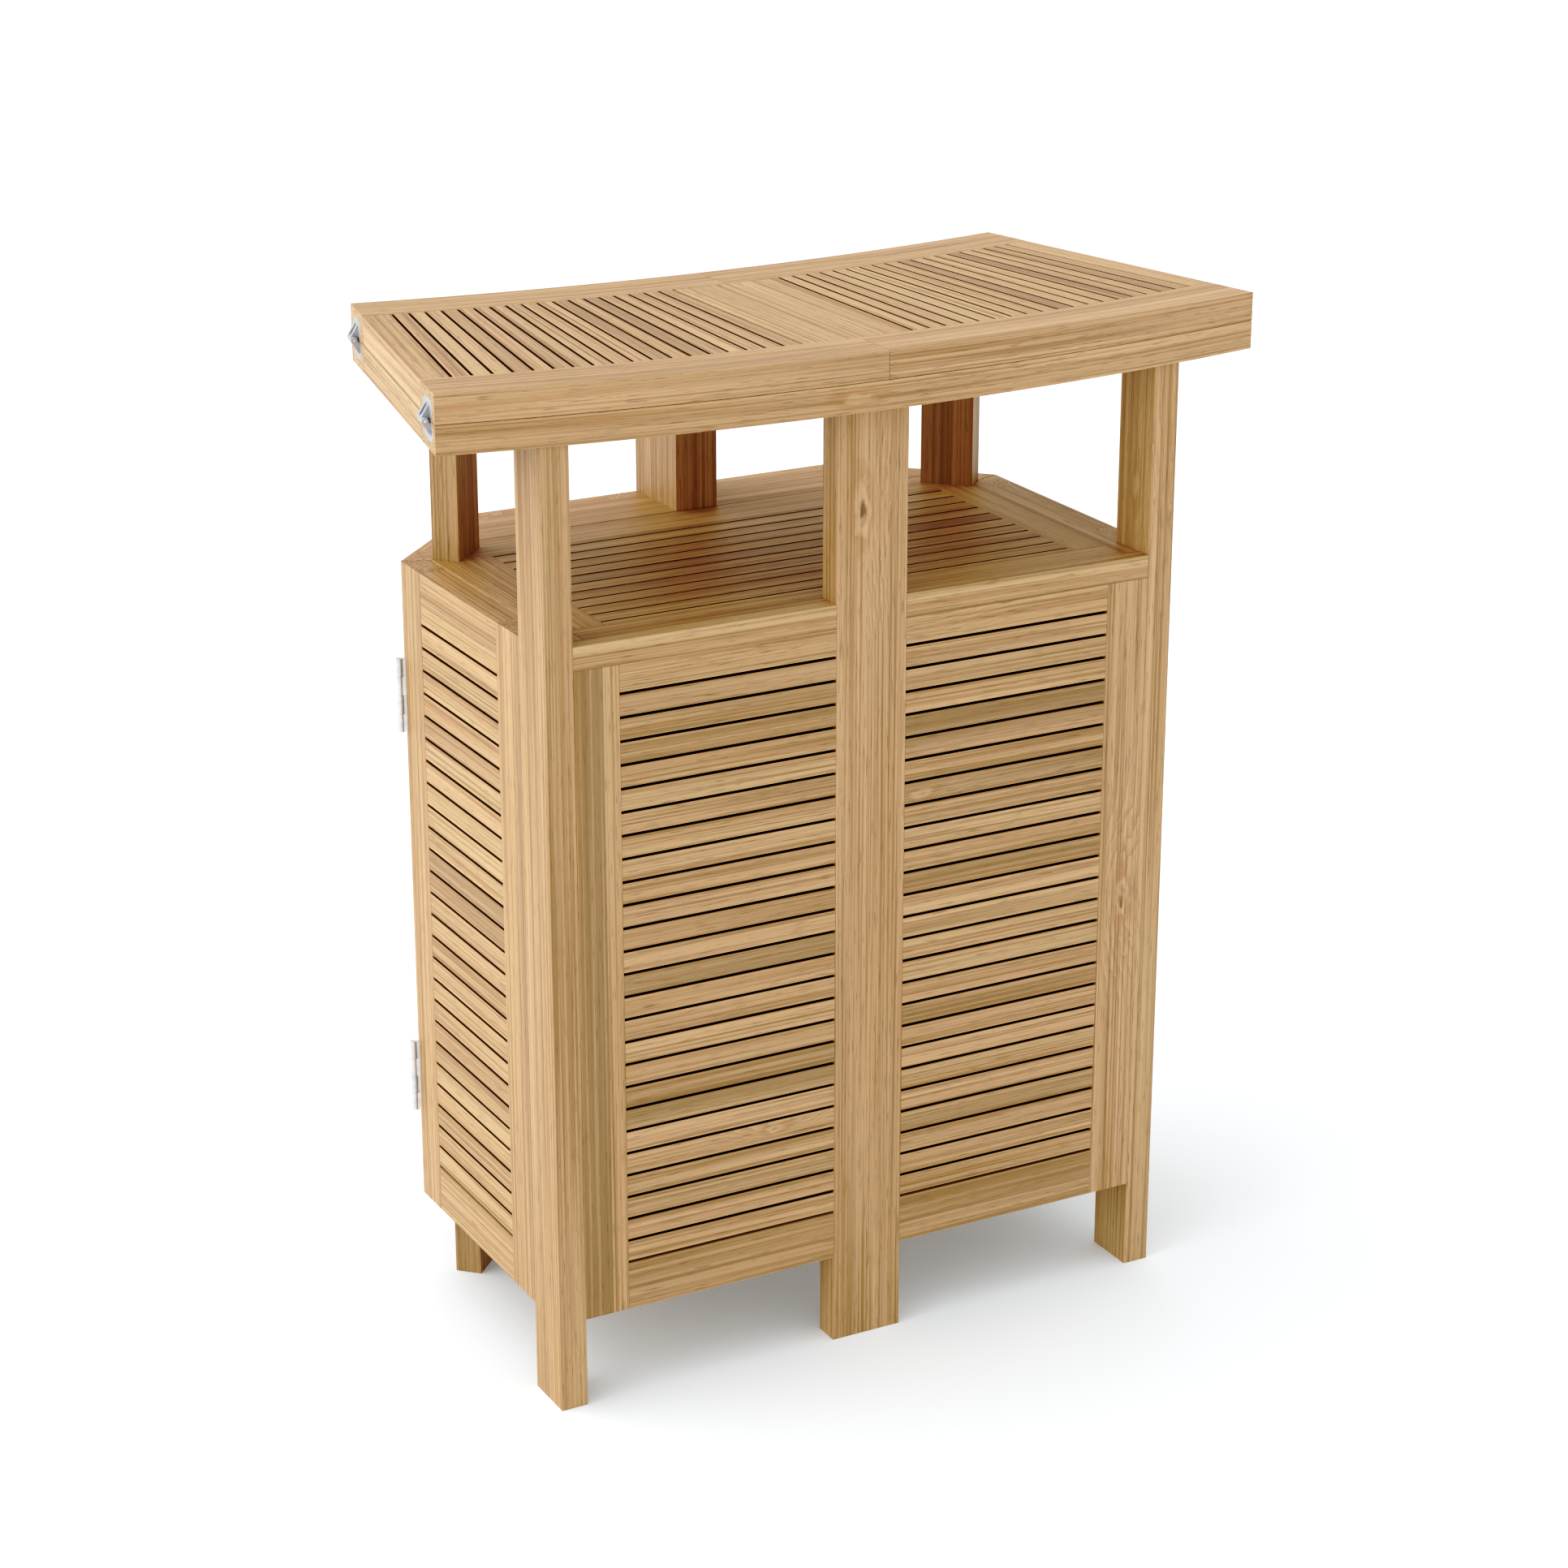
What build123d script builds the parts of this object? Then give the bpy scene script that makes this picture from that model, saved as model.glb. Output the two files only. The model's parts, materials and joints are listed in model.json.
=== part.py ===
"""Folding teak bar cabinet with a flip-over curved top and a swinging rear gate.

Millimetres, +Z up.  The origin is on the floor, on the mirror plane, under the
middle of the whole outline.  The curved front of the top faces -Y.

Three bodies:
  cabinet  the standing half: posts, front and side panels, shelves, lower leaf
  leaf     the upper leaf of the top, which flips over to the left by half a turn
  gate     the rear wall with its own leg, which swings out and carries the leaf
"""
from build123d import *
from math import asin, atan2, cos, degrees, hypot, radians, sin, sqrt, tan
import os

os.makedirs("parts", exist_ok=True)

# ---------------------------------------------------------------- driving sizes
HEIGHT = 1100.0            # floor to the top of the closed bar
WIDTH = 732.0              # across the two front corner posts
DEPTH = 490.0              # front face to rear face of the cabinet
CHAMFER = 132.0            # leg of each 45 degree rear corner
SETBACK = 15.0             # middle of the cabinet behind the origin

PANEL_BOTTOM = 100.0       # floor to the underside of the panels
SHELF_TOP = 835.0          # serving shelf
PANEL_TOP = 834.0          # panels stop 1 mm under the serving shelf
SHELF_T = 25.0             # boards of the serving shelf and the front beams
FRAME_T = 30.0             # stiles, rails, corner posts and both leaves
REAR_FRAME_T = 20.0        # stiles and rails of the two flat rear panels

# the leaves of the top, a slice of a ring seen from above
LEAF_HALF_ANGLE = 11.25    # each leaf covers a sixteenth of a full ring
LEAF_R_FRONT = 2394.0
LEAF_R_BACK = 1984.0
LEAF_FRONT_Y = -260.75     # foremost point of the curved front
LEAF_RAIL_W = 58.0         # curved rails
LEAF_LIP_W = 5.0           # thin lipping between the rails and the slats
LEAF_END_BOARD_W = 29.5
LEAF_CENTRE_BOARD_W = 124.0
LEAF_SLOTS = 19            # slots on each side of the centre board
LEAF_GAP = 0.6             # between the closed leaves

SLOT = 3.0                 # every ventilation slot
PANEL_PITCH = 25.0         # slot to slot in the panels
PANEL_SLOTS = 26
FRONT_SLOT_Z = 154.5       # middle of the lowest slot in the front panels
SIDE_SLOT_Z = 152.5        # and in the side, corner and rear panels
SLAT_T = 20.0              # slats in the 30 mm frames
REAR_SLAT_T = 14.0         # slats in the 20 mm frames

POST_D = 62.0              # front corner posts, front to back
CENTRE_POST_W = 82.0
REAR_POST_W = 60.0         # rear corner posts, along the 45 degree corner
GATE_POST_W = 50.0
GATE_D = 100.0             # the gate is as deep as its leg

FRONT_STILE_W = 50.0
SIDE_FRONT_STILE_W = 54.0
SIDE_REAR_STILE_W = 49.0
CORNER_STILE_W = 45.0
REAR_STILE_W = 41.0
BEAM_D = 20.0              # front beams over the front panels

SHELF_PITCH = 26.0
SHELF_SLOTS = 11
SHELF_SLOT_Y = -166.25     # middle of the foremost shelf slot
SHELF_EDGE_STRIP_W = 8.0   # narrow strip outside the first and the last slot
SHELF_SLOT_END_X = 275.0
SHELF_END_BOARD_W = 40.0
SHELF_SIDE_STRIP_W = 21.0

# inner shelves
BEARER_W = 20.0
BEARER_H = 25.0
INNER_SLAT_T = 15.0
INNER_SLATS = 7
INNER_SLAT_GAP = 4.0
MIDDLE_BEARER_Z = 450.0
INNER_SHELF_REAR_Y = 88.0

# running clearances between the bodies
SEAM = 1.0                 # cabinet to gate along the shelf
JAMB_GAP = 0.8             # rear posts to the corner panels that close on them
MITRE_GAP = 0.5            # each side of the corner mitres that open
LEG_GAP = 0.5              # top of the gate's leg to the leaf it carries

# ---------------------------------------------------------------- worked out
HALF_W = WIDTH / 2
FRONT_Y = SETBACK - DEPTH / 2
REAR_Y = SETBACK + DEPTH / 2
SIDE_X = HALF_W - FRAME_T                      # inner faces of the side panels
LEAF_AXIS_Z = HEIGHT - FRAME_T                 # the plane between the leaves
LEAF_T = FRAME_T - LEAF_GAP / 2
LOWER_Z = LEAF_AXIS_Z - FRAME_T                # underside of the lower leaf
UPPER_Z = LEAF_AXIS_Z + LEAF_GAP / 2
BEAM_Z = SHELF_TOP - SHELF_T
LEAF_CENTRE_Y = LEAF_FRONT_Y + LEAF_R_FRONT
GATE_Y = REAR_Y - GATE_D                       # front plane of the gate
SHELF_REAR_Y = GATE_Y - SEAM
CENTRE_X = CENTRE_POST_W / 2
MITRE_RUN = FRAME_T * tan(radians(22.5))       # how far a corner mitre runs back
MITRE_SHIFT = MITRE_GAP / cos(radians(22.5))
SLOT_FRONT_R = LEAF_R_FRONT - LEAF_RAIL_W - LEAF_LIP_W
SLOT_REAR_R = LEAF_R_BACK + LEAF_RAIL_W + LEAF_LIP_W


# ---------------------------------------------------------------- small helpers
def save(piece, name):
    """Label a finished sub-part and write it as one STEP file."""
    piece.part.label = name
    export_step(piece.part, f"parts/{name}.step")


def upright(outlines, low, high, mode=Mode.ADD):
    """Extrude plan outlines from one height to another in the current part."""
    with BuildSketch(Plane.XY.offset(low)) as plan:
        for outline in outlines:
            Polygon(*outline, align=None)
    extrude(plan.sketch, amount=high - low, mode=mode)


def rectangle(x_low, x_high, y_low, y_high):
    return [(x_low, y_low), (x_high, y_low), (x_high, y_high), (x_low, y_high)]


def mirrored(outline):
    """The same outline on the other side of the mirror plane."""
    return [(-x, y) for x, y in reversed(outline)]


def both_sides(outline):
    return [outline, mirrored(outline)]


def slot_edges(first, pitch, count):
    """Lower and upper edge of every slat that stands between two slots."""
    return [
        (first + pitch * k + SLOT / 2, first + pitch * (k + 1) - SLOT / 2)
        for k in range(count - 1)
    ]


class PanelPlan:
    """Plan of one frame-and-slat panel, measured along its outer face.

    start and along give the outer face; inward points into the cabinet.  The
    first and last stile may be mitred, so their inner faces are shorter there.
    """

    def __init__(self, start, along, inward, length, thickness, stiles, cuts):
        self.start = Vector(*start)
        self.along = Vector(*along).normalized()
        self.inward = Vector(*inward).normalized()
        self.length = length
        self.thickness = thickness
        self.first, self.last = stiles
        self.cut_start, self.cut_end = cuts

    def point(self, run, depth):
        spot = self.start + self.along * run + self.inward * depth
        return (spot.X, spot.Y)

    def outline(self, run_a, run_b, depth, cut_a=0.0, cut_b=0.0):
        return [
            self.point(run_a, 0),
            self.point(run_b, 0),
            self.point(run_b - cut_b, depth),
            self.point(run_a + cut_a, depth),
        ]

    def stiles(self):
        length, depth = self.length, self.thickness
        return [
            self.outline(0, self.first, depth, cut_a=self.cut_start),
            self.outline(length - self.last, length, depth, cut_b=self.cut_end),
        ]

    def field(self, depth):
        """Outline of everything between the stiles."""
        return self.outline(self.first, self.length - self.last, depth)


def stile_boards(plans, low, high):
    upright([outline for plan in plans for outline in plan.stiles()], low, high)


def rail_boards(plans, low, high, first_slot):
    """Bottom and top rails, up to the lowest and the highest slot."""
    fields = [plan.field(plan.thickness) for plan in plans]
    last_slot = first_slot + PANEL_PITCH * (PANEL_SLOTS - 1)
    upright(fields, low, first_slot - SLOT / 2)
    upright(fields, last_slot + SLOT / 2, high)


def slat_boards(plan, first_slot, thickness):
    for low, high in slot_edges(first_slot, PANEL_PITCH, PANEL_SLOTS):
        upright([plan.field(thickness)], low, high)


# ---------------------------------------------------------------- corner geometry
# Left rear corner: the outer face runs from P1 on the side to P2 on the rear.
P1 = (-HALF_W, REAR_Y - CHAMFER)
P2 = (-HALF_W + CHAMFER, REAR_Y)
DIAGONAL = (1 / sqrt(2), 1 / sqrt(2))
DIAGONAL_IN = (1 / sqrt(2), -1 / sqrt(2))
CORNER_LENGTH = CHAMFER * sqrt(2)
# x - y is constant along the inner face of the left corner panel
CORNER_INNER = P1[0] - P1[1] + FRAME_T * sqrt(2)
REAR_INNER_Y = REAR_Y - REAR_FRAME_T
P2_INNER = (CORNER_INNER + REAR_INNER_Y, REAR_INNER_Y)
P2_CUT_CORNER = CORNER_LENGTH - (
    (P2_INNER[0] - P1[0]) * DIAGONAL[0] + (P2_INNER[1] - P1[1]) * DIAGONAL[1]
)
P2_CUT_REAR = P2_INNER[0] - P2[0]


def rear_post_outline():
    """The left rear post: its wide face lies along the inside of the corner."""
    x = -SIDE_X + JAMB_GAP * DIAGONAL_IN[0]
    y = P1[1] - MITRE_RUN + JAMB_GAP * DIAGONAL_IN[1]
    wide = [c * REAR_POST_W for c in DIAGONAL]
    thick = [c * FRAME_T for c in DIAGONAL_IN]
    return [
        (x, y),
        (x + thick[0], y + thick[1]),
        (x + thick[0] + wide[0], y + thick[1] + wide[1]),
        (x + wide[0], y + wide[1]),
    ]


REAR_POST = rear_post_outline()
JAMB_1, JAMB_2, JAMB_3, JAMB_4 = REAR_POST

# ---------------------------------------------------------------- panel plans
SIDE_START_Y = FRONT_Y + POST_D
SIDE_LENGTH = P1[1] - MITRE_SHIFT - SIDE_START_Y

left_side = PanelPlan(
    (-HALF_W, SIDE_START_Y), (0, 1), (1, 0), SIDE_LENGTH, FRAME_T,
    (SIDE_FRONT_STILE_W, SIDE_REAR_STILE_W), (0, MITRE_RUN),
)
right_side = PanelPlan(
    (HALF_W, SIDE_START_Y), (0, 1), (-1, 0), SIDE_LENGTH, FRAME_T,
    (SIDE_FRONT_STILE_W, SIDE_REAR_STILE_W), (0, MITRE_RUN),
)
corner_start = (P1[0] + MITRE_SHIFT * DIAGONAL[0], P1[1] + MITRE_SHIFT * DIAGONAL[1])
left_corner = PanelPlan(
    corner_start, DIAGONAL, DIAGONAL_IN, CORNER_LENGTH - MITRE_SHIFT, FRAME_T,
    (CORNER_STILE_W, CORNER_STILE_W), (MITRE_RUN, P2_CUT_CORNER),
)
right_corner = PanelPlan(
    (-corner_start[0], corner_start[1]), (-DIAGONAL[0], DIAGONAL[1]),
    (-DIAGONAL_IN[0], DIAGONAL_IN[1]), CORNER_LENGTH - MITRE_SHIFT, FRAME_T,
    (CORNER_STILE_W, CORNER_STILE_W), (MITRE_RUN, P2_CUT_CORNER),
)
REAR_LENGTH = -P2[0] - GATE_POST_W / 2
rear_left = PanelPlan(
    P2, (1, 0), (0, -1), REAR_LENGTH, REAR_FRAME_T,
    (REAR_STILE_W, REAR_STILE_W), (P2_CUT_REAR, 0),
)
rear_right = PanelPlan(
    (-P2[0], P2[1]), (-1, 0), (0, -1), REAR_LENGTH, REAR_FRAME_T,
    (REAR_STILE_W, REAR_STILE_W), (P2_CUT_REAR, 0),
)
FRONT_LENGTH = SIDE_X - CENTRE_X
front_left = PanelPlan(
    (-SIDE_X, FRONT_Y), (1, 0), (0, 1), FRONT_LENGTH, FRAME_T, (FRONT_STILE_W, 0), (0, 0)
)
front_right = PanelPlan(
    (SIDE_X, FRONT_Y), (-1, 0), (0, 1), FRONT_LENGTH, FRAME_T, (FRONT_STILE_W, 0), (0, 0)
)

# ---------------------------------------------------------------- hinge geometry
# Leaf hinges, on the left ends of the curved rails.
END_TURN = radians(LEAF_HALF_ANGLE)
END_ALONG = Vector(sin(END_TURN), cos(END_TURN), 0)    # from the front corner back
END_OUT = Vector(-cos(END_TURN), sin(END_TURN), 0)
END_FRONT = Vector(
    -LEAF_R_FRONT * sin(END_TURN), LEAF_CENTRE_Y - LEAF_R_FRONT * cos(END_TURN), 0
)
END_LENGTH = LEAF_R_FRONT - LEAF_R_BACK
LEAF_HINGE_INSET = 30.0        # middle of each hinge from the nearest corner
LEAF_HINGE_OUT = 5.2           # pin to the end face of the leaves
LEAF_PLATE_W = 38.0
LEAF_PLATE_H = 21.0
LEAF_PLATE_T = 2.5
LEAF_PLATE_CORNER = 9.0
LEAF_KNUCKLE_R = 3.3
LEAF_KNUCKLE_W = 6.0
KNUCKLE_GAP = 0.2
LEAF_LUG_HIGH = 15.0           # root of a lug, from the pin's height
LEAF_LUG_LOW = 2.5
LEAF_PIN_R = 1.6
PIN_CLEAR = 0.05
LEAF_SCREW_X = 15.5            # screws each side of the knuckles
LEAF_SCREW_Z = 6.5

# Gate hinges, butt hinges let into the left corner mitre.
BISECTOR_IN = Vector(cos(radians(22.5)), -sin(radians(22.5)), 0)
GATE_SIDE = Vector(sin(radians(22.5)), cos(radians(22.5)), 0)
GATE_HINGE_OUT = 5.5           # pin to the sharp corner of the mitre
GATE_PIN = Vector(P1[0], P1[1], 0) - BISECTOR_IN * GATE_HINGE_OUT
GATE_HINGE_Z = (243.0, 686.0)  # middle of each hinge
GATE_KNUCKLE_R = 3.5
GATE_KNUCKLE_H = 20.5
GATE_KNUCKLES = 4
GATE_PIN_R = 2.0
GATE_LEAF_T = 1.8
GATE_LEAF_W = 24.0
GATE_LEAF_OFFSET = 0.3         # face of each leaf to the plane of the mitre
GATE_HINGE_H = GATE_KNUCKLE_H * GATE_KNUCKLES
GATE_SCREW_RUNS = (-28.0, 0.0, 28.0)
GATE_SCREW_IN = 14.0           # screws from the corner, into the mitre
POCKET_LEAD = 2.0              # a pocket starts this far outside the corner

# One countersunk wood screw serves every hinge.
SCREW_HEAD_R = 2.6
SCREW_R = 1.4
SCREW_LENGTH = 16.0
SCREW_HEAD_H = 1.2
SCREW_FIT = 0.05
SCREW_HOLE_SPARE = 1.0         # the holes are this much deeper than the screws


def screw_places(plate_centres, runs, along, up_offset):
    """Points on a plate's face, each side of its middle."""
    return [centre + along * run + up_offset for centre in plate_centres for run in runs]


def screws(places, outward):
    """Countersunk screws whose flat heads lie in the given face."""
    for place in places:
        side = Vector(0, 0, 1)
        face = Plane(origin=place, x_dir=side, z_dir=outward)
        with BuildSketch(face) as head:
            Circle(SCREW_HEAD_R)
        with BuildSketch(face.offset(-SCREW_HEAD_H)) as neck:
            Circle(SCREW_R)
        loft([head.sketch.face(), neck.sketch.face()])
        with BuildSketch(face.offset(-SCREW_HEAD_H)) as shank:
            Circle(SCREW_R)
        extrude(shank.sketch, amount=-(SCREW_LENGTH - SCREW_HEAD_H))


def screw_holes(places, outward):
    """Matching holes, with a hair of room around the screw."""
    for place in places:
        face = Plane(origin=place, x_dir=Vector(0, 0, 1), z_dir=outward)
        with BuildSketch(face) as head:
            Circle(SCREW_HEAD_R + SCREW_FIT)
        with BuildSketch(face.offset(-SCREW_HEAD_H)) as neck:
            Circle(SCREW_R + SCREW_FIT)
        loft([head.sketch.face(), neck.sketch.face()], mode=Mode.SUBTRACT)
        with BuildSketch(face) as shank:
            Circle(SCREW_R + SCREW_FIT)
        extrude(shank.sketch, amount=-(SCREW_LENGTH + SCREW_HOLE_SPARE), mode=Mode.SUBTRACT)


leaf_hinge_centres = [
    END_FRONT + END_ALONG * run + Vector(0, 0, LEAF_AXIS_Z)
    for run in (LEAF_HINGE_INSET, END_LENGTH - LEAF_HINGE_INSET)
]


def leaf_screw_places(centres, side):
    """side is +1 on the upper leaf and -1 on the lower leaf."""
    lift = Vector(0, 0, side * LEAF_SCREW_Z)
    return screw_places(centres, (-LEAF_SCREW_X, LEAF_SCREW_X), END_ALONG, lift)


def leaf_plate_sketch(centre, side):
    """Outline of one hinge plate, rounded at its two free corners."""
    plane = Plane(origin=centre, x_dir=-END_ALONG, z_dir=END_OUT)
    low = LEAF_GAP / 2
    with BuildSketch(plane) as plate:
        with Locations((0, side * (low + LEAF_PLATE_H) / 2)):
            Rectangle(LEAF_PLATE_W, LEAF_PLATE_H - low)
        free = plate.vertices().group_by(Axis.Z)[-1 if side > 0 else 0]
        fillet(free, LEAF_PLATE_CORNER)
    return plate.sketch


def leaf_plate_pockets(centres, side):
    """Shallow housings for the plates in the end grain of the rails."""
    for centre in centres:
        plate = leaf_plate_sketch(centre, side)
        extrude(plate, amount=-LEAF_PLATE_T, mode=Mode.SUBTRACT)
    screw_holes(leaf_screw_places(centres, side), END_OUT)


def leaf_lug(centre, side, run):
    """One knuckle with the wedge-shaped lug that joins it to its plate."""
    reach = hypot(LEAF_HINGE_OUT, LEAF_LUG_HIGH)
    dip = degrees(atan2(LEAF_LUG_HIGH, LEAF_HINGE_OUT)) - degrees(asin(LEAF_KNUCKLE_R / reach))
    touch = radians(90 - dip)
    tangent = (
        LEAF_HINGE_OUT + LEAF_KNUCKLE_R * cos(touch),
        side * LEAF_KNUCKLE_R * sin(touch),
    )
    width = LEAF_KNUCKLE_W - KNUCKLE_GAP
    plane = Plane(origin=centre + END_ALONG * (run - width / 2), x_dir=END_OUT, z_dir=END_ALONG)
    with BuildSketch(plane) as lug:
        Polygon(
            (0, side * LEAF_LUG_LOW), (0, side * LEAF_LUG_HIGH), tangent, (LEAF_HINGE_OUT, 0),
            align=None,
        )
        with Locations((LEAF_HINGE_OUT, 0)):
            Circle(LEAF_KNUCKLE_R)
            Circle(LEAF_PIN_R + PIN_CLEAR, mode=Mode.SUBTRACT)
    extrude(lug.sketch, amount=width)


def leaf_hinge_plates(side, runs):
    """Both plates on one leaf, with their knuckles and screw holes."""
    for centre in leaf_hinge_centres:
        extrude(leaf_plate_sketch(centre, side), amount=-LEAF_PLATE_T)
        for run in runs:
            leaf_lug(centre, side, run)
    screw_holes(leaf_screw_places(leaf_hinge_centres, side), END_OUT)


def gate_leaf_plane(z):
    """Plan plane of a gate hinge at one height: x into the mitre, y to the gate."""
    return Plane(origin=GATE_PIN + Vector(0, 0, z), x_dir=BISECTOR_IN, z_dir=(0, 0, 1))


def gate_leaf_rectangle(side, run_a, run_b):
    """Plan of a hinge leaf between two distances from the pin."""
    middle = side * (GATE_LEAF_OFFSET + GATE_LEAF_T / 2)
    with Locations(((run_a + run_b) / 2, middle)):
        Rectangle(run_b - run_a, GATE_LEAF_T)


def gate_hinge_leaves(side, knuckles):
    """Both leaves on one side of the mitre, each with its own knuckles."""
    for middle in GATE_HINGE_Z:
        bottom = middle - GATE_HINGE_H / 2
        with BuildSketch(gate_leaf_plane(bottom)) as blade:
            gate_leaf_rectangle(side, GATE_HINGE_OUT, GATE_HINGE_OUT + GATE_LEAF_W)
        extrude(blade.sketch, amount=GATE_HINGE_H)
        for k in knuckles:
            low = bottom + k * GATE_KNUCKLE_H + KNUCKLE_GAP / 2
            with BuildSketch(gate_leaf_plane(low)) as knuckle:
                Circle(GATE_KNUCKLE_R)
                gate_leaf_rectangle(side, 0, GATE_HINGE_OUT)
                Circle(GATE_PIN_R + PIN_CLEAR, mode=Mode.SUBTRACT)
            extrude(knuckle.sketch, amount=GATE_KNUCKLE_H - KNUCKLE_GAP)
    screw_holes(gate_screw_places(side), GATE_SIDE * -side)


def gate_leaf_pockets(side):
    """Housings for the leaves in the mitred edges of the stiles."""
    for middle in GATE_HINGE_Z:
        with BuildSketch(gate_leaf_plane(middle - GATE_HINGE_H / 2)) as pocket:
            gate_leaf_rectangle(side, GATE_HINGE_OUT - POCKET_LEAD, GATE_HINGE_OUT + GATE_LEAF_W)
        extrude(pocket.sketch, amount=GATE_HINGE_H, mode=Mode.SUBTRACT)
    screw_holes(gate_screw_places(side), GATE_SIDE * -side)


def gate_screw_places(side):
    """Screw heads lie in the face of the leaf that looks at the mitre plane."""
    corner = GATE_PIN + BISECTOR_IN * (GATE_HINGE_OUT + GATE_SCREW_IN)
    face = corner + GATE_SIDE * (side * GATE_LEAF_OFFSET)
    return [
        face + Vector(0, 0, middle + run) for middle in GATE_HINGE_Z for run in GATE_SCREW_RUNS
    ]


# ---------------------------------------------------------------- leaves of the top
def ring_point(radius, angle):
    """A point on the ring, the angle counted from the mirror plane."""
    turn = radians(angle)
    return (radius * sin(turn), LEAF_CENTRE_Y - radius * cos(turn))


def ring_sector(r_inner, r_outer, angle_a, angle_b, low, high):
    """A curved rail or lipping strip between two angles."""
    middle = (angle_a + angle_b) / 2
    with BuildSketch(Plane.XY.offset(low)) as plan:
        with BuildLine():
            ThreePointArc(
                ring_point(r_outer, angle_a), ring_point(r_outer, middle),
                ring_point(r_outer, angle_b),
            )
            Line(ring_point(r_outer, angle_b), ring_point(r_inner, angle_b))
            ThreePointArc(
                ring_point(r_inner, angle_b), ring_point(r_inner, middle),
                ring_point(r_inner, angle_a),
            )
            Line(ring_point(r_inner, angle_a), ring_point(r_outer, angle_a))
        make_face()
    extrude(plan.sketch, amount=high - low)


def ring_y(radius, x):
    """Where the ring of this radius crosses a given x."""
    return LEAF_CENTRE_Y - sqrt(radius**2 - x**2)


BOARD_END_PLAY = 0.1           # straight board ends clear the curved lipping
LAST_SLOT_OFFSET = LEAF_END_BOARD_W + SLOT / 2


def last_slot_x(radius):
    """x of the outermost slot, which runs parallel to the end of the leaf."""
    angle = LEAF_HALF_ANGLE - degrees(asin(LAST_SLOT_OFFSET / radius))
    return ring_point(radius, angle)[0]


FIRST_SLOT_X = (LEAF_CENTRE_BOARD_W + SLOT) / 2
BOARD_FRONT_R = SLOT_FRONT_R - BOARD_END_PLAY
BOARD_REAR_R = SLOT_REAR_R + BOARD_END_PLAY


def slot_x(radius, k):
    """The slots fan out evenly from the centre board to the end board."""
    share = k / (LEAF_SLOTS - 1)
    return FIRST_SLOT_X + (last_slot_x(radius) - FIRST_SLOT_X) * share


def leaf_slat_outline(k):
    """Plan of the tapered slat between slot k and slot k + 1, on the right."""
    front = (slot_x(BOARD_FRONT_R, k) + SLOT / 2, slot_x(BOARD_FRONT_R, k + 1) - SLOT / 2)
    rear = (slot_x(BOARD_REAR_R, k) + SLOT / 2, slot_x(BOARD_REAR_R, k + 1) - SLOT / 2)
    front_edge = [(x, ring_y(BOARD_FRONT_R, x)) for x in front]
    rear_edge = [(x, ring_y(BOARD_REAR_R, x)) for x in reversed(rear)]
    return front_edge + rear_edge


def leaf_end_board_outline():
    inner = LEAF_HALF_ANGLE - degrees(asin(LEAF_END_BOARD_W / BOARD_FRONT_R))
    inner_rear = LEAF_HALF_ANGLE - degrees(asin(LEAF_END_BOARD_W / BOARD_REAR_R))
    return [
        ring_point(BOARD_FRONT_R, inner),
        ring_point(BOARD_FRONT_R, LEAF_HALF_ANGLE),
        ring_point(BOARD_REAR_R, LEAF_HALF_ANGLE),
        ring_point(BOARD_REAR_R, inner_rear),
    ]


def leaf_centre_board_outline():
    """The front end follows the lipping in four short straights."""
    half = LEAF_CENTRE_BOARD_W / 2
    rear_y = ring_y(BOARD_REAR_R, 0)
    front = [(x, ring_y(BOARD_FRONT_R, x)) for x in (-half, -half / 2, 0, half / 2, half)]
    return front + [(half, rear_y), (-half, rear_y)]


def leaf_slats(low, side):
    """The slats on one side of the centre board; side is -1 for the left."""
    for k in range(LEAF_SLOTS - 1):
        outline = leaf_slat_outline(k)
        upright([outline if side > 0 else mirrored(outline)], low, low + LEAF_T)


def leaf_lipping(low):
    """Thin curved strips along the inner edges of the front and rear rails."""
    for r_inner, r_outer in (
        (SLOT_FRONT_R, SLOT_FRONT_R + LEAF_LIP_W),
        (SLOT_REAR_R - LEAF_LIP_W, SLOT_REAR_R),
    ):
        ring_sector(r_inner, r_outer, -LEAF_HALF_ANGLE, LEAF_HALF_ANGLE, low, low + LEAF_T)


FRONT_RAIL = (LEAF_R_FRONT - LEAF_RAIL_W, LEAF_R_FRONT)
REAR_RAIL = (LEAF_R_BACK, LEAF_R_BACK + LEAF_RAIL_W)
BUTT_JOINT = 0.005             # half angle of the hairline between two rail halves

# ================================================================ posts
with BuildPart() as front_left_post:
    upright([rectangle(-HALF_W, -SIDE_X, FRONT_Y, FRONT_Y + POST_D)], 0, LOWER_Z)
save(front_left_post, "front_left_post")

with BuildPart() as front_right_post:
    upright([rectangle(SIDE_X, HALF_W, FRONT_Y, FRONT_Y + POST_D)], 0, LOWER_Z)
save(front_right_post, "front_right_post")

with BuildPart() as front_centre_post:
    upright([rectangle(-CENTRE_X, CENTRE_X, FRONT_Y, FRONT_Y + FRAME_T)], 0, LOWER_Z)
save(front_centre_post, "front_centre_post")

with BuildPart() as rear_left_post:
    upright([REAR_POST], 0, LOWER_Z)
save(rear_left_post, "rear_left_post")

with BuildPart() as rear_right_post:
    upright([mirrored(REAR_POST)], 0, LOWER_Z)
save(rear_right_post, "rear_right_post")

# ================================================================ front panels
with BuildPart() as front_beams:
    upright(
        both_sides(rectangle(CENTRE_X, SIDE_X, FRONT_Y, FRONT_Y + BEAM_D)), BEAM_Z, SHELF_TOP
    )
save(front_beams, "front_beams")

with BuildPart() as front_stiles:
    upright([plan.stiles()[0] for plan in (front_left, front_right)], PANEL_BOTTOM, BEAM_Z)
save(front_stiles, "front_stiles")

with BuildPart() as front_rails:
    rail_boards((front_left, front_right), PANEL_BOTTOM, BEAM_Z, FRONT_SLOT_Z)
save(front_rails, "front_rails")

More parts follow.
